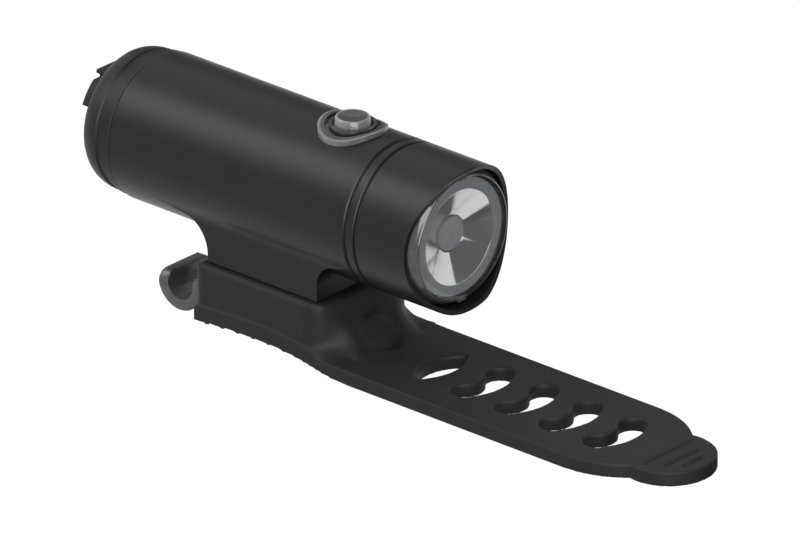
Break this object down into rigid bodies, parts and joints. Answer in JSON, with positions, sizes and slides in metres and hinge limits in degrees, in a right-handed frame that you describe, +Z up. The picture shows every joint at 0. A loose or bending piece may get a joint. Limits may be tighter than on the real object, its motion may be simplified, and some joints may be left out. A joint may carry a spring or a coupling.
{
  "type": "bike headlight",
  "caption": "Round black handlebar light on a machined pedestal, with a top button, scalloped bezel and a rubber strap mount whose slotted tongue wraps the bar and catches on a rear hook.",
  "frame": {"origin": "where the crown of the handlebar meets the rubber saddle, on the middle plane of the light", "axes": "+Z up, the light shines along -Y, X along the handlebar"},
  "size_m": [0.032, 0.162, 0.0543],
  "materials": {
    "anodised_black": "satin black anodised",
    "seal_rubber": "matt",
    "clear_lens": "clear polycarbonate",
    "metallised_bowl": "bright metallised",
    "frosted_lens": "frosted",
    "led_phosphor": "silicone dome",
    "white_board": "white solder mask",
    "steel": "plated",
    "cell_wrap": "shrink film",
    "inner_plastic": "moulded",
    "green_board": "green solder mask",
    "smoke_plastic": "smoke grey, translucent",
    "smoke_button": "smoke grey, translucent",
    "cap_plastic": "satin black",
    "strap_rubber": "matt black",
    "hook_grey": "satin grey, glass filled nylon"
  },
  "bodies": {
    "housing": {"body_shell": "anodised_black", "heat_sink": "anodised_black", "body_seal": "seal_rubber", "bezel_seal": "seal_rubber", "bezel": "anodised_black", "front_lens": "clear_lens", "lens_gasket": "seal_rubber", "reflector": "metallised_bowl", "centre_lens": "frosted_lens", "led_emitter": "led_phosphor", "led_board": "white_board", "board_screws": "steel", "battery_cell": "cell_wrap", "cell_tabs": "steel", "cell_carrier": "inner_plastic", "driver_board": "green_board", "usb_socket": "steel", "tact_switch": "inner_plastic", "indicator_leds": "led_phosphor", "button_surround": "smoke_plastic", "rear_cap": "cap_plastic", "rear_gasket": "seal_rubber", "cover_anchor": "strap_rubber", "strap_cradle": "strap_rubber", "strap_hook": "hook_grey", "mount_screws": "steel"},
    "button": {"button_cap": "smoke_button", "switch_plunger": "inner_plastic"},
    "cover": {"port_cover": "strap_rubber"},
    "strap": {"strap_tongue": "strap_rubber"}
  },
  "joints": [
    {"name": "button_press", "type": "slide", "parent": "housing", "child": "button", "axis": [0, 0, -1], "range_m": [0, 0.0006], "stiffness_N_per_m": 2500},
    {"name": "cover_hinge", "type": "hinge", "parent": "housing", "child": "cover", "pos_m": [0, 0.05053, 0.0365], "axis": [-1, 0, 0], "range_deg": [0, 100], "stiffness_Nm_per_rad": 0.002},
    {"name": "strap_flex", "type": "hinge", "parent": "housing", "child": "strap", "pos_m": [0, -0.0284, -0.0027], "axis": [1, 0, 0], "range_deg": [0, 90], "stiffness_Nm_per_rad": 0.05}
  ]
}
